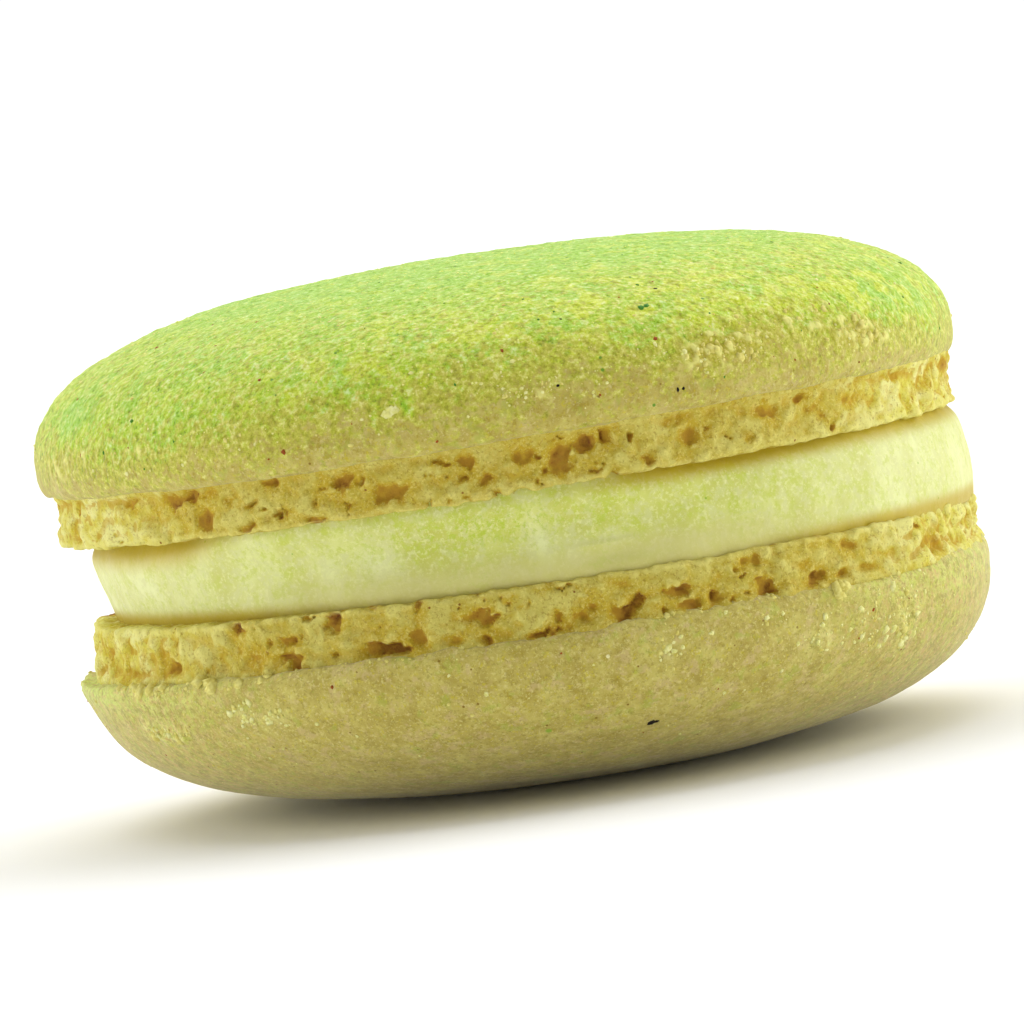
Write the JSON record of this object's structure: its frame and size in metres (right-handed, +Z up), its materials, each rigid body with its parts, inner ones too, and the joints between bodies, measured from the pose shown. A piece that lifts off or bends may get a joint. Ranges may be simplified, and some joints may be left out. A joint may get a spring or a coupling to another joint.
{
  "type": "french macaron",
  "caption": "Round sandwich of domed almond biscuits on ruffled feet, with a disc of buttercream between them.",
  "frame": {"origin": "on the table plane, under the middle of the macaron's bounding box", "axes": "+Z up through both biscuits, -Y towards the front, +X towards the side where the cream stands out furthest"},
  "size_m": [0.0457, 0.0451, 0.0255],
  "materials": {
    "dusted_biscuit": "matt almond biscuit dusted with fine lime-green powder",
    "plain_biscuit": "matt beige-yellow almond biscuit",
    "buttercream": "pale yellow-green buttercream, smooth with a soft satin sheen"
  },
  "bodies": {
    "root": {"top_shell": "dusted_biscuit", "bottom_shell": "plain_biscuit", "filling": "buttercream"}
  },
  "joints": []
}
